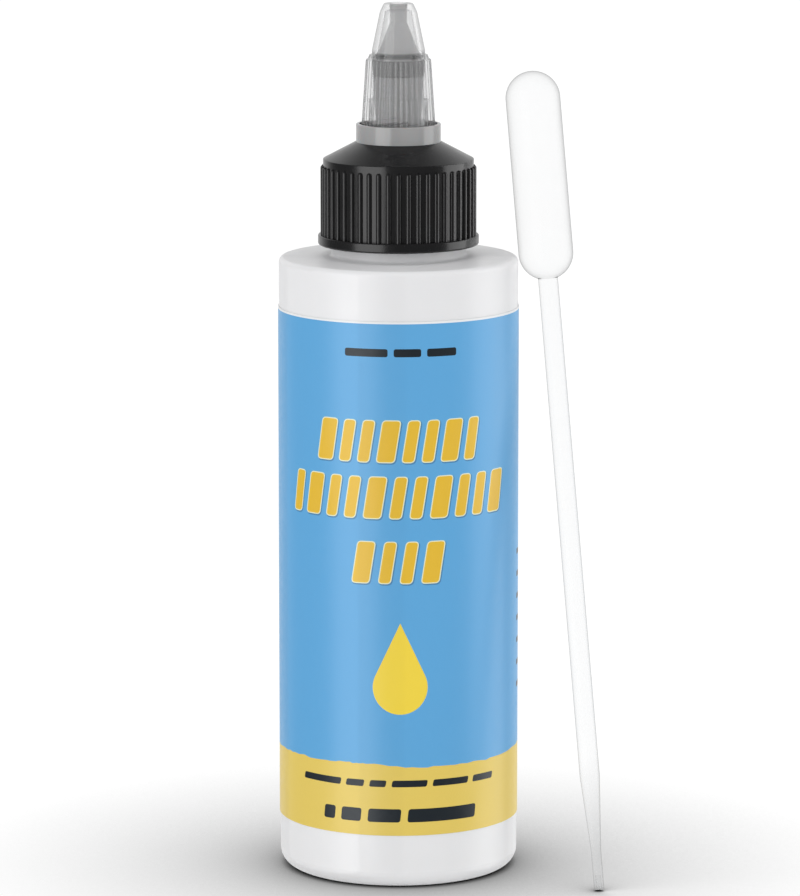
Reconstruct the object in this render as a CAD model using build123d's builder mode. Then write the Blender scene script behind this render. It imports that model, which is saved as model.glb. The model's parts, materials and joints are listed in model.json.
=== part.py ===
from build123d import *
import os

os.makedirs("parts", exist_ok=True)

# A 4 fl oz bottle of glass-cutting oil: bottle, wrap label, screw cap with a twist-open spout,
# and a transfer pipette leaning against the bottle. Millimetres, +Z up. The origin is the middle
# of the face that the bottle stands on, and the bottle's axis is Z.

# ------------------------------------------------------------------ driving dimensions
# bottle
body_radius = 20.24
body_wall = 1.1
base_corner = 2.8
base_thickness = 1.6
shoulder_rim_height = 104.95
shoulder_neck_height = 105.15
shoulder_corner = 0.9
neck_collar_radius = 11.35
neck_collar_top = 106.9
neck_root_radius = 10.85
neck_crest_radius = 11.85
neck_bore_radius = 9.2
neck_top = 119.9

# wrap label
label_bottom = 9.25
label_top = 96.6
label_gap = 0.02
label_thickness = 0.13
label_overlap_angle = 12

# screw thread between the neck and the cap
cap_pitch = 3.175
neck_thread_turns = 1.5
neck_thread_start = 109.4
cap_thread_turns = 1.25
cap_thread_drop = 1.32
cap_thread_radius = 11.15
neck_ridge_root_width = 2.0
neck_ridge_crest_width = 0.9
cap_ridge_root_width = 1.6
cap_ridge_crest_width = 0.8

# screw cap
cap_foot = 107.04
cap_lip_radius = 13.6
cap_lip_top = 108.7
cap_skirt_radius = 12.72
cap_bore_radius = 12.12
cap_ceiling = 121.0
cap_shoulder = 121.5
cap_cone_radius = 7.24
cap_cone_top = 124.4
cap_rib_count = 48
cap_rib_radius = 0.47
cap_rib_reach = 13.16
cap_rib_top = 120.4

# liner between the neck and the cap
liner_inner_radius = 7.6
liner_outer_radius = 11.0
liner_thickness = 1.0
liner_gap = 0.05

# grey insert: flange, collar cup and hollow post
flange_radius = 8.4
flange_top = 122.2
collar_radius = 7.15
collar_inner_radius = 6.6
collar_top = 127.45
cup_floor = 123.8
post_radius = 4.12
post_bore_radius = 3.0
post_shoulder = 138.0
seat_radius = 3.3
seat_height = 139.7
pin_radius = 1.44
pin_foot = 144.5
pin_top = 147.45
port_count = 4
port_width = 1.5
port_bottom = 138.1
port_top = 139.2

# twist spout and its two-start screw
spout_lead = 4.4
spout_starts = 2
post_thread_reach = 4.8
post_thread_start = 125.2
post_thread_turns = 0.75
post_ridge_root_width = 1.2
post_ridge_crest_width = 0.6
spout_thread_radius = 4.55
spout_thread_start = 125.2
spout_thread_turns = 0.55
spout_thread_angle = 90
spout_ridge_root_width = 1.3
spout_ridge_crest_width = 0.7
spout_foot = 124.2
spout_bore_radius = 5.05
spout_bore_step = 131.6
spout_head_bore = 4.49
spout_rib_count = 38
spout_rib_radius = 0.3
spout_top = 147.75
orifice_radius = 1.5

# sealing ring in the head of the spout, which slides on the post
seal_bottom = 135.5
seal_height = 2.75
seal_inner_radius = 4.16
seal_outer_radius = 4.45
seal_gap = 0.03

# transfer pipette, from its tip to the top of its bulb
pipette_tip = Vector(33.81, -21.5, 0.25)
pipette_bulb_end = Vector(22.46, 10.5, 135.2)
pipette_length = 139.15
tip_radius = 0.85
tip_bore = 0.45
tip_length = 6.6
taper_end = 19.1
tube_radius = 1.685
tube_bore = 1.2
bulb_radius = 4.65
bulb_wall = 0.45
bulb_length = 35.4


def outline(points, corners=()):
    """Face in the XZ plane with (radius, height) points, and some corners rounded."""
    with BuildSketch(Plane.XZ) as face:
        with BuildLine():
            Polyline(*points, close=True)
        make_face()
        for corner, radius in corners:
            fillet(face.vertices().sort_by_distance((*corner, 0))[0], radius)
    return face.sketch


def thread_ridge(root, crest, root_width, crest_width, lead, turns, start, angle=0):
    """Helical ridge with a trapezoid section, from the root radius to the crest radius."""
    with BuildPart() as ridge:
        with BuildLine() as path:
            Helix(pitch=lead, height=lead * turns, radius=root)
        with BuildSketch(Plane.XZ) as section:
            with BuildLine():
                Polyline(
                    (root, -root_width / 2),
                    (crest, -crest_width / 2),
                    (crest, crest_width / 2),
                    (root, root_width / 2),
                    close=True,
                )
            make_face()
        sweep(path=path.line, is_frenet=True)
    return ridge.part.moved(Location((0, 0, start), (0, 0, angle)))


def rounded_rib(foot, head, radius):
    """Round rib lying along the line from foot to head, with a domed head."""
    with BuildPart() as rib:
        with BuildSketch(Plane(origin=foot, z_dir=head - foot)):
            Circle(radius)
        extrude(amount=(head - foot).length)
        with Locations(head):
            Sphere(radius)
    return rib.part


# ------------------------------------------------------------------ bottle
recess_inner_radius = 9.5
recess_outer_radius = 14.6
recess_depth = 0.6
recess_slope = 0.8
cavity_radius = body_radius - body_wall
cavity_top = shoulder_rim_height - body_wall

with BuildPart() as bottle:
    bottle_outside = outline(
        [
            (0, 0),
            (recess_inner_radius, 0),
            (recess_inner_radius + recess_slope, recess_depth),
            (recess_outer_radius - recess_slope, recess_depth),
            (recess_outer_radius, 0),
            (body_radius, 0),
            (body_radius, shoulder_rim_height),
            (neck_collar_radius, shoulder_neck_height),
            (neck_collar_radius, neck_collar_top),
            (neck_root_radius, neck_collar_top + 0.4),
            (neck_root_radius, neck_top),
            (0, neck_top),
        ],
        [
            ((body_radius, 0), base_corner),
            ((body_radius, shoulder_rim_height), shoulder_corner),
            ((neck_collar_radius, shoulder_neck_height), 0.5),
            ((neck_root_radius, neck_top), 0.3),
        ],
    )
    revolve(bottle_outside, axis=Axis.Z)
    embedded_root = neck_root_radius - 0.2
    add(
        thread_ridge(
            embedded_root,
            neck_crest_radius,
            neck_ridge_root_width,
            neck_ridge_crest_width,
            cap_pitch,
            neck_thread_turns,
            neck_thread_start,
        )
    )
    bottle_inside = outline(
        [
            (0, base_thickness),
            (cavity_radius, base_thickness),
            (cavity_radius, cavity_top),
            (neck_bore_radius, cavity_top + 0.2),
            (neck_bore_radius, neck_top + 1),
            (0, neck_top + 1),
        ],
        [((cavity_radius, base_thickness), 2.0), ((cavity_radius, cavity_top), 0.8)],
    )
    revolve(bottle_inside, axis=Axis.Z, mode=Mode.SUBTRACT)
bottle.part.label = "bottle"
export_step(bottle.part, "parts/bottle.step")

# ------------------------------------------------------------------ wrap label
label_inner = body_radius + label_gap
label_outer = label_inner + label_thickness

with BuildPart() as label:
    with BuildSketch(Plane.XY.offset(label_bottom)):
        Circle(label_outer)
        Circle(label_inner, mode=Mode.SUBTRACT)
    extrude(amount=label_top - label_bottom)
    # The last few millimetres of the wrap lie over its first edge, at the back.
    overlap_section = outline(
        [
            (label_outer - 0.05, label_bottom),
            (label_outer + label_thickness, label_bottom),
            (label_outer + label_thickness, label_top),
            (label_outer - 0.05, label_top),
        ]
    )
    seam_angle = 90 - label_overlap_angle / 2
    revolve(overlap_section.rotate(Axis.Z, seam_angle), axis=Axis.Z, revolution_arc=label_overlap_angle)
label.part.label = "label"
export_step(label.part, "parts/label.step")

# ------------------------------------------------------------------ cap liner
liner_bottom = neck_top + liner_gap

with BuildPart() as cap_liner:
    with BuildSketch(Plane.XY.offset(liner_bottom)):
        Circle(liner_outer_radius)
        Circle(liner_inner_radius, mode=Mode.SUBTRACT)
    extrude(amount=liner_thickness)
cap_liner.part.label = "cap_liner"
export_step(cap_liner.part, "parts/cap_liner.step")

# ------------------------------------------------------------------ screw cap
rib_axis_radius = cap_rib_reach - cap_rib_radius
insert_fit = 0.02

with BuildPart() as cap_shell:
    cap_section = outline(
        [
            (cap_bore_radius, cap_foot),
            (cap_lip_radius, cap_foot),
            (cap_lip_radius, cap_lip_top),
            (cap_skirt_radius, cap_lip_top),
            (cap_skirt_radius, cap_shoulder),
            (cap_cone_radius, cap_cone_top),
            (collar_radius + insert_fit, cap_cone_top),
            (collar_radius + insert_fit, flange_top + insert_fit),
            (flange_radius + insert_fit, flange_top + insert_fit),
            (flange_radius + insert_fit, cap_ceiling),
            (cap_bore_radius, cap_ceiling),
        ],
        [
            ((cap_lip_radius, cap_foot), 0.35),
            ((cap_lip_radius, cap_lip_top), 0.25),
            ((cap_skirt_radius, cap_shoulder), 0.15),
        ],
    )
    revolve(cap_section, axis=Axis.Z)
    rib = rounded_rib(
        Vector(rib_axis_radius, 0, cap_lip_top - 0.3),
        Vector(rib_axis_radius, 0, cap_rib_top - cap_rib_radius),
        cap_rib_radius,
    )
    with PolarLocations(0, cap_rib_count):
        add(rib)
    # The cap's thread runs just under the neck's, so that screwing down pulls the cap on to its liner.
    cap_thread_root = cap_bore_radius + 0.2
    cap_thread_start = neck_thread_start - cap_thread_drop
    add(
        thread_ridge(
            cap_thread_root,
            cap_thread_radius,
            cap_ridge_root_width,
            cap_ridge_crest_width,
            cap_pitch,
            cap_thread_turns,
            cap_thread_start,
        )
    )
cap_shell.part.label = "cap_shell"
export_step(cap_shell.part, "parts/cap_shell.step")

# ------------------------------------------------------------------ grey insert with the post
core_tip_radius = 0.7
core_tip_height = 143.4
foot_bore_radius = 5.8
port_middle = (port_bottom + port_top) / 2
port_reach = 2 * (post_radius - post_bore_radius) + 1.2

with BuildPart() as nozzle_post:
    post_outside = outline(
        [
            (0, cap_ceiling),
            (flange_radius, cap_ceiling),
            (flange_radius, flange_top),
            (collar_radius, flange_top),
            (collar_radius, collar_top),
            (collar_inner_radius, collar_top),
            (collar_inner_radius, cup_floor),
            (post_radius, cup_floor),
            (post_radius, post_shoulder),
            (seat_radius, seat_height),
            (pin_radius, pin_foot),
            (pin_radius, pin_top),
            (0, pin_top),
        ],
        [
            ((collar_radius, collar_top), 0.15),
            ((pin_radius, pin_top), 0.15),
            ((collar_inner_radius, cup_floor), 0.3),
        ],
    )
    revolve(post_outside, axis=Axis.Z)
    for start in range(spout_starts):
        add(
            thread_ridge(
                post_radius - 0.15,
                post_thread_reach,
                post_ridge_root_width,
                post_ridge_crest_width,
                spout_lead,
                post_thread_turns,
                post_thread_start,
                start * 360 / spout_starts,
            )
        )
    # The post is cored out from below, up into its cone.
    core = outline(
        [
            (0, cap_ceiling - 1),
            (foot_bore_radius, cap_ceiling - 1),
            (foot_bore_radius, cap_ceiling + 0.8),
            (post_bore_radius, cup_floor),
            (post_bore_radius, post_shoulder),
            (core_tip_radius, core_tip_height),
            (0, core_tip_height),
        ]
    )
    revolve(core, axis=Axis.Z, mode=Mode.SUBTRACT)
    # Ports let the oil out of the post, between its shoulder and the seat.
    with PolarLocations(post_radius, port_count, start_angle=45):
        with Locations((0, 0, port_middle)):
            Box(port_reach, port_width, port_top - port_bottom, mode=Mode.SUBTRACT)
nozzle_post.part.label = "nozzle_post"
export_step(nozzle_post.part, "parts/nozzle_post.step")

# ------------------------------------------------------------------ sealing ring of the spout
with BuildPart() as spout_seal_ring:
    ring_section = outline(
        [
            (seal_inner_radius, seal_bottom),
            (seal_outer_radius, seal_bottom),
            (seal_outer_radius, seal_bottom + seal_height),
            (seal_inner_radius, seal_bottom + seal_height),
        ],
        [
            ((seal_inner_radius, seal_bottom), 0.08),
            ((seal_inner_radius, seal_bottom + seal_height), 0.08),
        ],
    )
    revolve(ring_section, axis=Axis.Z)
spout_seal_ring.part.label = "spout_seal_ring"
export_step(spout_seal_ring.part, "parts/spout_seal_ring.step")

# ------------------------------------------------------------------ twist spout
skirt_foot_radius = 6.15
skirt_head_radius = 5.25
skirt_head_height = 138.15
skirt_head_top = 139.05
tip_foot_radius = 4.47
tip_foot_height = 139.8
tip_shoulder_radius = 3.12
tip_shoulder_height = 146.3
tip_edge_radius = 2.45
seat_clearance = 0.12
tip_cavity_radius = 2.2
tip_cavity_height = 146.45
orifice_foot = 146.8

with BuildPart() as twist_spout:
    spout_outside = outline(
        [
            (0, spout_foot),
            (skirt_foot_radius, spout_foot),
            (skirt_head_radius, skirt_head_height),
            (skirt_head_radius - 0.35, skirt_head_top),
            (tip_foot_radius, skirt_head_top),
            (tip_foot_radius, tip_foot_height),
            (tip_shoulder_radius, tip_shoulder_height),
            (tip_edge_radius, spout_top - 0.08),
            (orifice_radius + 0.5, spout_top),
            (0, spout_top),
        ],
        [
            ((skirt_head_radius, skirt_head_height), 0.6),
            ((tip_shoulder_radius, tip_shoulder_height), 1.0),
            ((tip_edge_radius, spout_top - 0.08), 0.35),
        ],
    )
    revolve(spout_outside, axis=Axis.Z)
    rib = rounded_rib(
        Vector(skirt_foot_radius - 0.05, 0, spout_foot + 0.3),
        Vector(skirt_head_radius - 0.05, 0, skirt_head_height - 0.1),
        spout_rib_radius,
    )
    with PolarLocations(0, spout_rib_count):
        add(rib)
    spout_inside = outline(
        [
            (0, spout_foot - 1),
            (spout_bore_radius, spout_foot - 1),
            (spout_bore_radius, spout_bore_step),
            (spout_head_bore, spout_bore_step + 0.5),
            (spout_head_bore, seal_bottom + seal_height + seal_gap),
            (seat_radius + seat_clearance, seat_height + 0.1),
            (tip_cavity_radius, tip_cavity_height),
            (orifice_radius, orifice_foot),
            (orifice_radius, spout_top + 1),
            (0, spout_top + 1),
        ]
    )
    revolve(spout_inside, axis=Axis.Z, mode=Mode.SUBTRACT)
    for start in range(spout_starts):
        add(
            thread_ridge(
                spout_bore_radius + 0.15,
                spout_thread_radius,
                spout_ridge_root_width,
                spout_ridge_crest_width,
                spout_lead,
                spout_thread_turns,
                spout_thread_start,
                spout_thread_angle + start * 360 / spout_starts,
            )
        )
twist_spout.part.label = "twist_spout"
export_step(twist_spout.part, "parts/twist_spout.step")

# ------------------------------------------------------------------ transfer pipette
pipette_direction = (pipette_bulb_end - pipette_tip).normalized()
pipette_side = pipette_direction.cross(Vector(0, 1, 0)).normalized()
pipette_plane = Plane(origin=pipette_tip, x_dir=pipette_side, z_dir=pipette_side.cross(pipette_direction))
bulb_foot = pipette_length - bulb_length
bulb_low_centre = bulb_foot + (bulb_radius**2 - tube_radius**2) ** 0.5
bulb_high_centre = pipette_length - bulb_radius
inner_bulb_radius = bulb_radius - bulb_wall
inner_bulb_foot = bulb_low_centre - (inner_bulb_radius**2 - tube_bore**2) ** 0.5
inner_bulb_top = pipette_length - bulb_wall

with BuildPart() as pipette:
    with BuildSketch(pipette_plane) as pipette_wall:
        with BuildLine():
            Polyline((0, 0), (tip_radius, 0), (tip_radius, tip_length))
            Line((tip_radius, tip_length), (tube_radius, taper_end))
            Line((tube_radius, taper_end), (tube_radius, bulb_foot))
            RadiusArc((tube_radius, bulb_foot), (bulb_radius, bulb_low_centre), -bulb_radius)
            Line((bulb_radius, bulb_low_centre), (bulb_radius, bulb_high_centre))
            RadiusArc((bulb_radius, bulb_high_centre), (0, pipette_length), -bulb_radius)
            Line((0, pipette_length), (0, 0))
        make_face()
        with BuildLine():
            Polyline((0, -1), (tip_bore, -1), (tip_bore, tip_length))
            Line((tip_bore, tip_length), (tube_bore, taper_end))
            Line((tube_bore, taper_end), (tube_bore, inner_bulb_foot))
            RadiusArc((tube_bore, inner_bulb_foot), (inner_bulb_radius, bulb_low_centre), -inner_bulb_radius)
            Line((inner_bulb_radius, bulb_low_centre), (inner_bulb_radius, bulb_high_centre))
            RadiusArc((inner_bulb_radius, bulb_high_centre), (0, inner_bulb_top), -inner_bulb_radius)
            Line((0, inner_bulb_top), (0, -1))
        make_face(mode=Mode.SUBTRACT)
    revolve(axis=Axis(pipette_tip, pipette_direction))
pipette.part.label = "pipette"
export_step(pipette.part, "parts/pipette.step")
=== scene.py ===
import json
import random
from math import acos, asin, cos, pi, radians, sin, tau

import bpy
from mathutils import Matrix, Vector
from mathutils.geometry import delaunay_2d_cdt


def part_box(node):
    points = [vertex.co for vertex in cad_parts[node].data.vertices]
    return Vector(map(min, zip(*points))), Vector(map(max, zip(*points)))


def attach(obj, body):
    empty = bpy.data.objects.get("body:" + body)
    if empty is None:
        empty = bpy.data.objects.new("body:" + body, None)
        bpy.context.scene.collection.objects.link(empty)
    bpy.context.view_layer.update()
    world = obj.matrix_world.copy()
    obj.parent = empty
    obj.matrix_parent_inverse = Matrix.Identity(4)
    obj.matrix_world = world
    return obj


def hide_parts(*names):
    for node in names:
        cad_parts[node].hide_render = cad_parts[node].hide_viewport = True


# The looks of a bottle of glass-cutting oil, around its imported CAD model. Metres, +Z up.
MM = 0.001
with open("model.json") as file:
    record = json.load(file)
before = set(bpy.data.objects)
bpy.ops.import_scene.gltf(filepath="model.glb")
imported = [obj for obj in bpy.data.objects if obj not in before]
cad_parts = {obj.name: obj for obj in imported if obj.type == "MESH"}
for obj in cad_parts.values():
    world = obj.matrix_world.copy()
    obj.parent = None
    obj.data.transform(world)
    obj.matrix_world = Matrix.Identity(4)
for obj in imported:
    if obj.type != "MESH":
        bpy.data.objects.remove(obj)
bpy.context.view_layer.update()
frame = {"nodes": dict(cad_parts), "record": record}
nodes = frame["nodes"]
scene = bpy.context.scene

# The label's outside radius, how far its overlap stands proud behind, and its height.
label_low, label_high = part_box("label")
LABEL_RADIUS = label_high.x
LABEL_LIFT = label_high.y - label_high.x
LABEL_BOTTOM = label_low.z
LABEL_TOP = label_high.z
SPOUT_RIBS = 38
SPOUT_RIB_HEAD = 138.3 * MM
SPOUT_GROOVE_RISE = 0.75 * MM
CAMERA_PLACE = (0.258 * MM, -0.92504, 0.22987)
CAMERA_PITCH = 9.685


# ------------------------------------------------------------------ camera
def make_camera():
    """Long lens, a little above the object, looking along +Y."""
    camera = bpy.data.cameras.new("camera")
    camera.lens = 221.75
    camera.sensor_width = 36
    camera.clip_start = 0.05
    camera.clip_end = 20
    holder = bpy.data.objects.new("camera", camera)
    holder.location = CAMERA_PLACE
    holder.rotation_euler = (radians(90 - CAMERA_PITCH), 0, 0)
    scene.collection.objects.link(holder)
    scene.camera = holder


make_camera()


# ------------------------------------------------------------------ node helpers
def new_material(name, color, roughness, **sockets):
    """Principled material with its constants on the shader's own sockets."""
    material = bpy.data.materials.new(name)
    material.use_nodes = True
    shader = material.node_tree.nodes["Principled BSDF"]
    shader.inputs["Base Color"].default_value = (*color, 1)
    shader.inputs["Roughness"].default_value = roughness
    for socket, value in sockets.items():
        shader.inputs[socket.replace("_", " ")].default_value = value
    return material


def add_node(material, kind, inputs=(), **settings):
    node = material.node_tree.nodes.new(kind)
    for key, value in settings.items():
        setattr(node, key, value)
    for key, value in dict(inputs).items():
        if isinstance(value, bpy.types.NodeSocket):
            material.node_tree.links.new(value, node.inputs[key])
        else:
            node.inputs[key].default_value = value
    return node


def shader_of(material):
    return material.node_tree.nodes["Principled BSDF"]


def object_point(material):
    return add_node(material, "ShaderNodeTexCoord").outputs["Object"]


def noise(material, scale, detail=2.0, roughness=0.5, stretch=None):
    """Noise over the object's own coordinates; scale is in cycles per metre."""
    point = object_point(material)
    if stretch:
        point = add_node(material, "ShaderNodeMapping", {"Vector": point, "Scale": stretch}).outputs[0]
    settings = {"Vector": point, "Scale": scale, "Detail": detail, "Roughness": roughness}
    return add_node(material, "ShaderNodeTexNoise", settings).outputs["Fac"]


def between(material, value, low, high, from_low=0.3, from_high=0.7):
    """Value spread over low to high."""
    settings = {0: value, 1: from_low, 2: from_high, 3: low, 4: high}
    return add_node(material, "ShaderNodeMapRange", settings).outputs[0]


def tint(material, value, first, second):
    """Colour between first, a colour or a socket, and second, a colour."""
    start = first if isinstance(first, bpy.types.NodeSocket) else (*first, 1)
    colors = {0: value, 6: start, 7: (*second, 1)}
    return add_node(material, "ShaderNodeMix", colors, data_type="RGBA").outputs[2]


def math(material, operation, first, second=0.0, clamp=False):
    node = add_node(material, "ShaderNodeMath", {0: first, 1: second}, operation=operation)
    node.use_clamp = clamp
    return node.outputs[0]


def bump(material, heights):
    """Stacks bumps: (height socket, depth in metres), and feeds the shader's normal."""
    normal = None
    for height, depth in heights:
        settings = {"Height": height, "Distance": depth}
        if normal is not None:
            settings["Normal"] = normal
        normal = add_node(material, "ShaderNodeBump", settings).outputs[0]
    material.node_tree.links.new(normal, shader_of(material).inputs["Normal"])


def feed(material, socket, value):
    material.node_tree.links.new(value, shader_of(material).inputs[socket])


def scaled(color, by):
    return tuple(min(1.0, c * by) for c in color)


# ------------------------------------------------------------------ materials
def white_polyethylene():
    """Blow-moulded bottle: soft white, faintly mottled, with the mould's parting line up both sides."""
    material = new_material(
        "bottle_white", (0.81, 0.81, 0.82), 0.36,
        Subsurface_Weight=0.12, Subsurface_Scale=0.0015, Specular_IOR_Level=0.42,
    )
    shader_of(material).inputs["Subsurface Radius"].default_value = (1.0, 0.9, 0.85)
    cloud = noise(material, 60, 3)
    feed(material, "Base Color", tint(material, cloud, (0.79, 0.79, 0.802), (0.83, 0.83, 0.84)))
    feed(material, "Roughness", between(material, noise(material, 350, 3), 0.30, 0.42))
    split = add_node(material, "ShaderNodeSeparateXYZ", {0: object_point(material)})
    across = math(material, "ABSOLUTE", split.outputs["Y"])
    line = math(material, "SUBTRACT", 1.0, math(material, "DIVIDE", across, 0.18 * MM), clamp=True)
    grain = noise(material, 2600, 2)
    waves = noise(material, 90, 1)
    bump(material, [(line, 0.06 * MM), (grain, 0.006 * MM), (waves, 0.03 * MM)])
    return material


def ink(name, color, spread=0.05, roughness=0.33):
    """Printed film: an even satin ink with a fine print grain."""
    material = new_material(name, color, roughness, Specular_IOR_Level=0.36)
    grain = noise(material, 5200, 2)
    feed(material, "Base Color", tint(material, grain, scaled(color, 1 - spread), scaled(color, 1 + spread)))
    gloss = noise(material, 900, 3)
    feed(material, "Roughness", between(material, gloss, roughness - 0.04, roughness + 0.05))
    bump(material, [(noise(material, 420, 2), 0.008 * MM), (noise(material, 3800, 1), 0.002 * MM)])
    return material


def black_polypropylene():
    """Satin black cap with a fine moulded grain and handling marks."""
    material = new_material("cap_black", (0.010, 0.010, 0.0105), 0.24, Specular_IOR_Level=0.43)
    cloud = noise(material, 240, 4)
    feed(material, "Base Color", tint(material, cloud, (0.008, 0.008, 0.0085), (0.013, 0.013, 0.0135)))
    scuffs = noise(material, 900, 5, 0.65, (1, 1, 0.25))
    feed(material, "Roughness", between(material, scuffs, 0.17, 0.25))
    bump(material, [(noise(material, 4200, 2), 0.003 * MM), (noise(material, 300, 2), 0.008 * MM)])
    return material


def grey_polyethylene():
    """Glossy grey insert with faint flow marks."""
    material = new_material(
        "insert_grey", (0.34, 0.34, 0.34), 0.16, Subsurface_Weight=0.1, Subsurface_Scale=0.0015
    )
    flow = noise(material, 260, 3, 0.5, (1, 1, 0.3))
    feed(material, "Base Color", tint(material, flow, (0.32, 0.32, 0.322), (0.37, 0.37, 0.372)))
    feed(material, "Roughness", between(material, noise(material, 700, 2), 0.12, 0.20))
    bump(material, [(noise(material, 3000, 2), 0.003 * MM)])
    return material


def painted_rib_shade(material, face, count, head):
    """Painted shade: darkens the colour between the ribs, below their head, and in the groove just above
    them.
    """
    split = add_node(material, "ShaderNodeSeparateXYZ", {0: object_point(material)}).outputs
    turn = math(material, "MULTIPLY", math(material, "ARCTAN2", split["Y"], split["X"]), count)
    valley_shade = between(material, math(material, "COSINE", turn), 1.0, 0.0, -1.0, 0.6)
    below = math(material, "LESS_THAN", split["Z"], head)
    valley_shade_depth = 0.42
    lines = math(material, "MULTIPLY", math(material, "MULTIPLY", valley_shade, below), valley_shade_depth)
    off_groove = math(material, "ABSOLUTE", math(material, "SUBTRACT", split["Z"], head + SPOUT_GROOVE_RISE))
    groove = between(material, off_groove, 0.7, 0.0, 0.25 * MM, 0.55 * MM)
    # Mixes toward the grey of the painted shade.
    return tint(material, math(material, "MAXIMUM", lines, groove), face, (0.35, 0.352, 0.355))


def clear_polyethylene(name, color, edge_shade_color, roughness, clear, ior, coat, edge_shade_power, ribs=None):
    """Thin natural plastic: a little cloudy and hardly bending the light. Where the wall is seen edge on its
    colour goes toward a painted dark edge shade, in a rim that is narrower for a higher power. The gloss
    comes from the coat.
    Ribs are their count and the height of their head; they give painted shade between the ribs and in the
    groove above."""
    material = new_material(
        name, color, roughness, Transmission_Weight=clear, IOR=ior, Coat_Weight=coat, Coat_Roughness=0.06
    )
    cloud = noise(material, 500, 3)
    face = tint(material, cloud, scaled(color, 0.985), scaled(color, 1.01))
    # Painted shade between the ribs and in the groove above them.
    if ribs:
        face = painted_rib_shade(material, face, *ribs)
    # Painted edge shade: the colour darkens where the wall is seen edge on.
    facing = add_node(material, "ShaderNodeLayerWeight", {"Blend": 0.5}).outputs["Facing"]
    rim = math(material, "POWER", facing, edge_shade_power)
    feed(material, "Base Color", tint(material, rim, face, edge_shade_color))
    feed(material, "Roughness", between(material, noise(material, 800, 3), roughness * 0.7, roughness * 1.4))
    bump(material, [(noise(material, 1800, 2), 0.002 * MM)])
    return material


def foam():
    material = new_material("liner_foam", (0.72, 0.72, 0.69), 0.7)
    cells = add_node(material, "ShaderNodeTexVoronoi", {"Vector": object_point(material), "Scale": 4200})
    bump(material, [(cells.outputs["Distance"], 0.05 * MM)])
    feed(material, "Base Color", tint(material, noise(material, 900), (0.68, 0.68, 0.65), (0.76, 0.76, 0.73)))
    return material


def seal_rubber():
    material = new_material("seal_grey", (0.11, 0.11, 0.11), 0.5)
    cloud = noise(material, 1500)
    feed(material, "Base Color", tint(material, cloud, (0.10, 0.10, 0.10), (0.125, 0.125, 0.127)))
    bump(material, [(noise(material, 5000, 2), 0.006 * MM)])
    return material


def dress(node, material, smooth_angle=32):
    """Gives a CAD node its material and smooth shading between its real edges."""
    mesh = nodes[node].data
    mesh.materials.clear()
    mesh.materials.append(material)
    mesh.shade_smooth()
    mesh.set_sharp_from_angle(angle=radians(smooth_angle))


dress("bottle", white_polyethylene())
dress("cap_shell", black_polypropylene())
dress("nozzle_post", grey_polyethylene())
dress(
    "twist_spout",
    clear_polyethylene(
        "spout_clear",
        color=(0.90, 0.902, 0.905),
        # painted dark edge shade
        edge_shade_color=(0.03, 0.031, 0.033),
        roughness=0.06,
        clear=0.88,
        ior=1.05,
        coat=0.5,
        edge_shade_power=2.6,
        # painted shade between the spout's ribs
        ribs=(SPOUT_RIBS, SPOUT_RIB_HEAD),
    ),
)
dress("cap_liner", foam())
dress("spout_seal_ring", seal_rubber())


# ------------------------------------------------------------------ label artwork
# Flat artwork: x is the distance round the bottle from the middle of the front, y is the height.
FILM, BLUE, BAND, TITLE, RIM, SHADE, DROP, DARK = range(8)
INKS = [
    ink("film_white", (0.86, 0.87, 0.88), 0.02),
    ink("ink_blue", (0.114, 0.40, 0.73), 0.02),
    ink("ink_band", (0.80, 0.60, 0.125), 0.03),
    ink("ink_title", (0.80, 0.50, 0.035), 0.03),
    ink("ink_rim", (0.84, 0.86, 0.56), 0.02),
    ink("ink_shade", (0.075, 0.25, 0.46), 0.03),
    ink("ink_drop", (0.92, 0.69, 0.06), 0.02),
    ink("ink_dark", (0.014, 0.02, 0.026), 0.08),
]
SLANT = 0.16


def rounded(corners, radius, steps=6):
    """Closed outline with each corner replaced by an arc-like curve."""
    outline = []
    for i, corner in enumerate(corners):
        corner = Vector(corner)
        before = Vector(corners[i - 1]) - corner
        after = Vector(corners[(i + 1) % len(corners)]) - corner
        start = corner + before.normalized() * min(radius, before.length / 2)
        end = corner + after.normalized() * min(radius, after.length / 2)
        for k in range(steps + 1):
            t = k / steps
            outline.append(start * (1 - t) ** 2 + corner * 2 * t * (1 - t) + end * t**2)
    return outline


def block(x, y, width, height, grow=0.0, radius=0.9, slant=SLANT):
    """Slanted bar with round corners, centred on (x, y)."""
    half_width, half_height = width / 2 + grow, height / 2 + grow
    lean = slant * half_height
    corners = [
        (x - half_width - lean, y - half_height),
        (x + half_width - lean, y - half_height),
        (x + half_width + lean, y + half_height),
        (x - half_width + lean, y + half_height),
    ]
    return rounded(corners, radius + grow)


def teardrop(x, bottom, width, height):
    """Round below, running to a point above."""
    radius = width / 2
    rise = height - radius
    open_angle = asin(radius / rise)
    centre = bottom + radius
    tip = (x, centre + rise)
    outline = [tip]
    steps = 48
    for k in range(steps + 1):
        angle = pi - open_angle + (pi + 2 * open_angle) * k / steps
        outline.append((x + radius * cos(angle), centre + radius * sin(angle)))
    return [Vector(p) for p in outline]


def brushed_edge(half_length):
    """Height of the band's rough upper edge, all the way round."""
    rng = random.Random(11)
    band_top = 21.3
    waves = [(rng.uniform(0.12, 0.3) * 0.6**k, 2 ** (k + 1), rng.uniform(0, tau)) for k in range(6)]
    points, x = [], -half_length
    while x < half_length:
        turn = tau * x / (2 * half_length)
        height = band_top + sum(size * sin(count * turn + phase) for size, count, phase in waves)
        points.append(Vector((x, height + rng.uniform(-0.12, 0.12))))
        x += rng.uniform(0.35, 1.5)
    points.append(Vector((half_length, points[0].y)))
    return points


def bars(x, y, widths, height, gap, slant=0.0, radius=0.3):
    """Row of plain bars, centred on (x, y)."""
    total = sum(widths) + gap * (len(widths) - 1)
    left = x - total / 2
    for width in widths:
        yield block(left + width / 2, y, width, height, 0, radius, slant)
        left += width + gap


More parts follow.
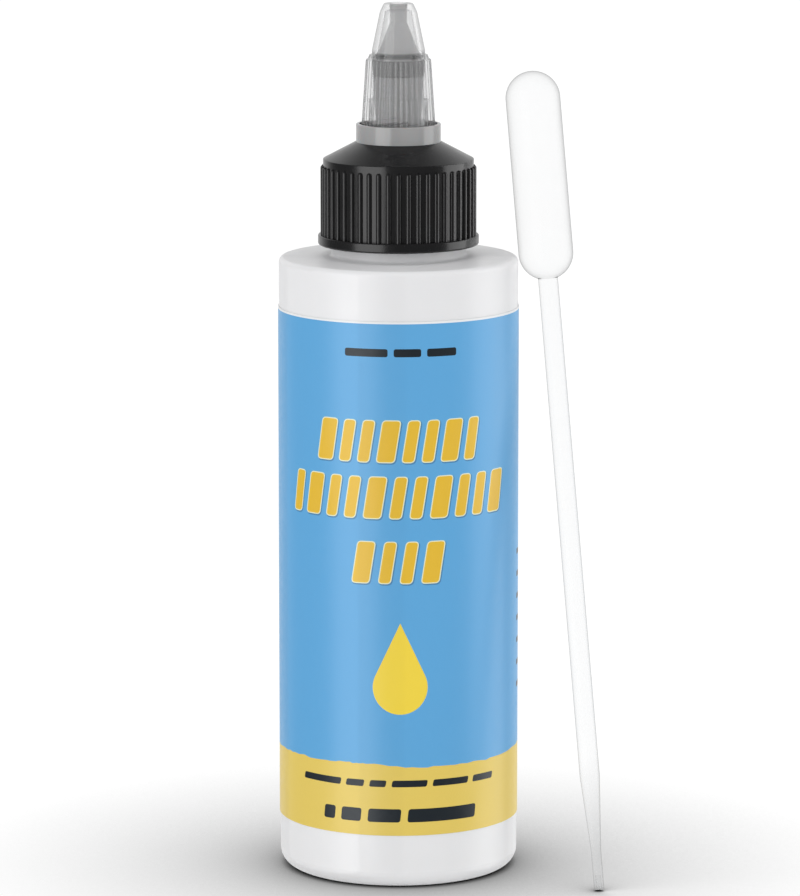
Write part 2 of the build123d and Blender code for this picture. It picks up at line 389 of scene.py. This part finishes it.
def artwork(half_length):
    """List of (outline, ink), later ones on top of earlier ones."""
    bottom, top = LABEL_BOTTOM / MM, LABEL_TOP / MM
    # The blue stops short of the top edge, so a thin strip of white film shows there.
    white_top_strip = 0.35
    top -= white_top_strip
    shapes = []
    field = [(-half_length, bottom), (half_length, bottom), (half_length, top), (-half_length, top)]
    shapes.append(([Vector(p) for p in field], BLUE))
    edge = brushed_edge(half_length)
    shapes.append(([Vector((-half_length, bottom)), Vector((half_length, bottom))] + edge[::-1], BAND))

    thin, wide, stroke_height, stroke_corner = 1.9, 2.9, 6.9, 0.6
    # Each row has the height of its middle, its width and its strokes.
    title_rows = [
        (76.5, 28.1, (wide, thin, thin, wide, thin, thin, wide, thin)),
        (67.0, 40.4, (thin, wide, thin, thin, wide, thin, thin, wide, thin, thin, wide)),
        (56.0, 14.8, (wide, thin, thin, wide)),
    ]
    rim, shade, shade_right, shade_down = 0.17, 0.24, 0.16, 0.18
    for height, row_width, widths in title_rows:
        gap = (row_width - sum(widths)) / (len(widths) - 1)
        left = -row_width / 2
        for width in widths:
            x = left + width / 2
            stroke = (width, stroke_height)
            shapes.append((block(x + shade_right, height - shade_down, *stroke, shade, stroke_corner), SHADE))
            shapes.append((block(x, height, *stroke, rim, stroke_corner), RIM))
            shapes.append((block(x, height, *stroke, 0, stroke_corner), TITLE))
            left += width + gap
    shapes.append((teardrop(0.3, 30.1, 9.3, 15.6), DROP))

    for outline in bars(0.4, 91.4, (7.4, 4.6, 5.2), 1.35, 1.0, 0, 0.4):
        shapes.append((outline, DARK))
    for outline in bars(0, 18.2, (8.0, 3.2, 2.8, 6.0, 6.6, 4.6), 1.15, 1.0, 0.2, 0.35):
        shapes.append((outline, DARK))
    for outline in bars(0.3, 12.7, (2.2, 3.6, 5.6, 12.4), 2.3, 1.2, 0.1, 0.5):
        shapes.append((outline, DARK))
    return shapes


def small_print():
    """Small print as plain bars on the sides and behind. Columns are their left end, width, top line,
    pitch and count of lines."""
    rng = random.Random(5)
    shapes = []
    columns = ((-56.0, 22.0, 84.0, 3.1, 17), (28.3, 27.0, 54.8, 3.84, 7), (35.0, 20.3, 84.0, 3.1, 7))
    for start, width, first, pitch, lines in columns:
        for line in range(lines):
            y = first - pitch * line
            left = start
            room = width * (rng.uniform(0.45, 0.7) if line % 6 == 5 else 1.0)
            while room > 2.5:
                word = min(room, rng.uniform(2.2, 6.2))
                shapes.append((block(left + word / 2, y, word, 0.95, 0, 0.25, 0), DARK))
                left += word + 0.8
                room -= word + 0.8
    return shapes


def settle(piece, sharp_angle=32):
    """Applies the piece's modifiers, and keeps its real edges sharp."""
    shape = piece.evaluated_get(bpy.context.evaluated_depsgraph_get())
    mesh = bpy.data.meshes.new_from_object(shape)
    piece.modifiers.clear()
    piece.data = mesh
    mesh.shade_smooth()
    mesh.set_sharp_from_angle(angle=radians(sharp_angle))


def label_sheet():
    """The wrap label as one closed sheet. Its printed areas are faces with their own ink."""
    overlap = 12
    half_angle = pi + radians(overlap / 2)
    radius = LABEL_RADIUS / MM
    half_length = half_angle * radius
    bottom, top = LABEL_BOTTOM / MM, LABEL_TOP / MM
    points, edges, faces, inks = [], [], [], []

    def add_face(outline, ink_index):
        first = len(points)
        points.extend(Vector((p[0], p[1])) for p in outline)
        faces.append(list(range(first, len(points))))
        inks.append(ink_index)

    def add_line(a, b):
        edges.append((len(points), len(points) + 1))
        points.extend((Vector(a), Vector(b)))

    sheet = [(-half_length, bottom), (half_length, bottom), (half_length, top), (-half_length, top)]
    add_face(sheet, FILM)
    for outline, ink_index in artwork(half_length) + small_print():
        add_face(outline, ink_index)
    columns = 140
    for k in range(1, columns):
        x = -half_length + 2 * half_length * k / columns
        add_line((x, bottom), (x, top))
    rows = 12
    for k in range(1, rows):
        y = bottom + (top - bottom) * k / rows
        add_line((-half_length, y), (half_length, y))

    flat, _, triangles, _, _, origins = delaunay_2d_cdt(points, edges, faces, 1, 1e-5)
    lift = LABEL_LIFT / MM
    ramp_start, ramp_end = half_angle - radians(overlap + 5), half_angle - radians(overlap)
    places = []
    for p in flat:
        angle = p.x / radius
        t = min(1.0, max(0.0, (angle - ramp_start) / (ramp_end - ramp_start)))
        r = radius + lift * t * t * (3 - 2 * t)
        places.append((r * sin(angle) * MM, -r * cos(angle) * MM, p.y * MM))
    mesh = bpy.data.meshes.new("printed_label")
    mesh.from_pydata(places, [], triangles)
    for material in INKS:
        mesh.materials.append(material)
    for polygon, origin in zip(mesh.polygons, origins):
        polygon.material_index = inks[max(origin)]
        polygon.use_smooth = True
    label = bpy.data.objects.new("printed_label", mesh)
    scene.collection.objects.link(label)
    thicken = label.modifiers.new("film", "SOLIDIFY")
    thicken.thickness = 0.12 * MM
    thicken.offset = -1
    thicken.use_even_offset = True
    thicken.material_offset = -99
    thicken.material_offset_rim = -99
    settle(label)
    return label


label = label_sheet()
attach(label, "bottle")
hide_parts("label")


# ------------------------------------------------------------------ pipette
def arc(centre, radius, start, end, steps=28):
    """Points (radius, distance) round a centre on the axis. Angles from square across the axis."""
    for k in range(steps + 1):
        angle = start + (end - start) * k / steps
        yield (radius * cos(angle), centre + radius * sin(angle))


def turned_pipette():
    """Transfer pipette turned about its leaning axis: slim tip, taper, tube and bulb."""
    mount = next(m for m in frame["record"]["mounts"] if m["name"] == "pipette_tip")
    tip = Vector(mount["pos_m"])
    lean = (-Vector(mount["axis"])).to_track_quat("Z", "Y")
    tip_radius, tip_bore, mouth_depth = 0.85, 0.45, 2.4
    tip_length, taper_end = 6.6, 19.1
    chamfer_width, chamfer_rise = 0.1, 0.12
    tube_radius, bulb_radius, length, bulb_length = 1.685, 4.65, 139.15, 35.4
    bulb_foot = length - bulb_length
    opening = acos(tube_radius / bulb_radius)
    low_centre = bulb_foot + bulb_radius * sin(opening)
    profile = [(tip_bore, mouth_depth), (tip_bore, chamfer_rise)]
    profile += [(tip_bore + chamfer_width, 0), (tip_radius - chamfer_width, 0)]
    profile += [(tip_radius, chamfer_rise), (tip_radius, tip_length), (tube_radius, taper_end)]
    profile += arc(low_centre, bulb_radius, -opening, 0)
    profile += list(arc(length - bulb_radius, bulb_radius, 0, pi / 2))[:-1]

    sides = 128
    points = [(0, 0, mouth_depth), (0, 0, length)]
    for radius, distance in profile:
        for k in range(sides):
            angle = tau * k / sides
            points.append((radius * cos(angle), radius * sin(angle), distance))
    faces = []
    last = 2 + (len(profile) - 1) * sides
    for k in range(sides):
        after = (k + 1) % sides
        faces.append((0, 2 + after, 2 + k))
        faces.append((1, last + k, last + after))
        for row in range(len(profile) - 1):
            a = 2 + row * sides
            faces.append((a + k, a + after, a + sides + after, a + sides + k))
    mesh = bpy.data.meshes.new("turned_pipette")
    mesh.from_pydata([tip + lean @ (Vector(p) * MM) for p in points], [], faces)
    plastic = clear_polyethylene(
        "pipette_clear",
        color=(0.94, 0.943, 0.945),
        # painted dark edge shade
        edge_shade_color=(0.004, 0.004, 0.005),
        roughness=0.04,
        clear=0.96,
        ior=1.03,
        coat=0.08,
        edge_shade_power=3.2,
    )
    mesh.materials.append(plastic)
    mesh.shade_smooth()
    mesh.set_sharp_from_angle(angle=radians(20))
    piece = bpy.data.objects.new("turned_pipette", mesh)
    scene.collection.objects.link(piece)
    return piece


pipette = turned_pipette()
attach(pipette, "pipette")
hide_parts("pipette")


# ------------------------------------------------------------------ floor and light
def is_seen(material):
    """1 for what the camera sees, straight or through clear plastic, otherwise 0."""
    path = add_node(material, "ShaderNodeLightPath").outputs
    return math(material, "MAXIMUM", path["Is Camera Ray"], path["Is Transmission Ray"])


def make_floor():
    """White table that glows for the camera, darkened by painted shade from ambient occlusion near what
    stands on it; other rays meet a plain diffuse table.
    """
    mesh = bpy.data.meshes.new("floor")
    reach = 4.0
    corners = [(-reach, -reach, 0), (reach, -reach, 0), (reach, reach, 0), (-reach, reach, 0)]
    mesh.from_pydata(corners, [], [(0, 1, 2, 3)])
    floor = bpy.data.objects.new("floor", mesh)
    material = new_material("floor_white", (0.8, 0.8, 0.8), 0.6)
    mesh.materials.append(material)
    shade_reach, shade_power, brightness = 0.07, 1.9, 1.05
    # Painted contact shade: the floor's glow is darkened by ambient occlusion near the bottle.
    shade = add_node(material, "ShaderNodeAmbientOcclusion", {"Distance": shade_reach}, samples=16)
    painted_shade = math(material, "POWER", shade.outputs["AO"], shade_power)
    white = math(material, "MULTIPLY", painted_shade, brightness)
    glow = add_node(material, "ShaderNodeEmission", {"Strength": white})
    table = add_node(material, "ShaderNodeBsdfDiffuse", {"Color": (0.8, 0.8, 0.8, 1)})
    mixed = add_node(material, "ShaderNodeMixShader", {0: is_seen(material)})
    material.node_tree.links.new(table.outputs[0], mixed.inputs[1])
    material.node_tree.links.new(glow.outputs[0], mixed.inputs[2])
    output = material.node_tree.nodes["Material Output"]
    material.node_tree.links.new(mixed.outputs[0], output.inputs["Surface"])
    material.node_tree.nodes.remove(shader_of(material))
    floor.visible_glossy = False
    floor.visible_shadow = False
    scene.collection.objects.link(floor)


def softbox(name, azimuth, elevation, width, height, gloss, fill):
    """Rectangular soft box a metre away that faces the bottle, brighter in the gloss than in the fill.
    Azimuth 0 is the camera's side, 90 is +X."""
    distance = 1.0
    a, e = radians(azimuth), radians(elevation)
    away = Vector((sin(a) * cos(e), -cos(a) * cos(e), sin(e)))
    target = Vector((0, 0, 0.075))
    for part, radiance in (("gloss", gloss), ("fill", fill)):
        light = bpy.data.lights.new(f"{name}_{part}", "AREA")
        light.shape = "RECTANGLE"
        light.size = width
        light.size_y = height
        light.energy = radiance * pi * width * height
        holder = bpy.data.objects.new(light.name, light)
        holder.location = target + away * distance
        holder.rotation_euler = away.to_track_quat("Z", "Y").to_euler()
        holder.visible_diffuse = part == "fill"
        holder.visible_glossy = part == "gloss"
        holder.visible_transmission = False
        scene.collection.objects.link(holder)


def make_world():
    """White all round for the camera, softer as fill, and dim in reflections but for the backdrop."""
    world = bpy.data.worlds.new("studio")
    world.use_nodes = True
    scene.world = world
    direction = add_node(world, "ShaderNodeTexCoord").outputs["Generated"]
    behind = add_node(world, "ShaderNodeSeparateXYZ", {0: direction}).outputs["Y"]
    room, backdrop, fill_light, seen_white = 0.12, 0.8, 0.86, 1.06
    reflected = between(world, behind, room, backdrop, 0.45, 0.80)
    glossy = add_node(world, "ShaderNodeLightPath").outputs["Is Glossy Ray"]
    fill = between(world, glossy, fill_light, reflected, 0.0, 1.0)
    strength = between(world, is_seen(world), fill, seen_white, 0.0, 1.0)
    background = world.node_tree.nodes["Background"]
    background.inputs["Color"].default_value = (1, 1, 1, 1)
    world.node_tree.links.new(strength, background.inputs["Strength"])
    world.cycles.sampling_method = "NONE"


def make_light():
    make_world()
    softbox("left_box", azimuth=-43, elevation=0, width=0.80, height=1.6, gloss=2.6, fill=1.4)
    softbox("right_box", azimuth=97, elevation=0, width=0.85, height=1.6, gloss=2.4, fill=1.3)
    scene.view_settings.view_transform = "Standard"
    scene.view_settings.look = "None"


make_floor()
make_light()
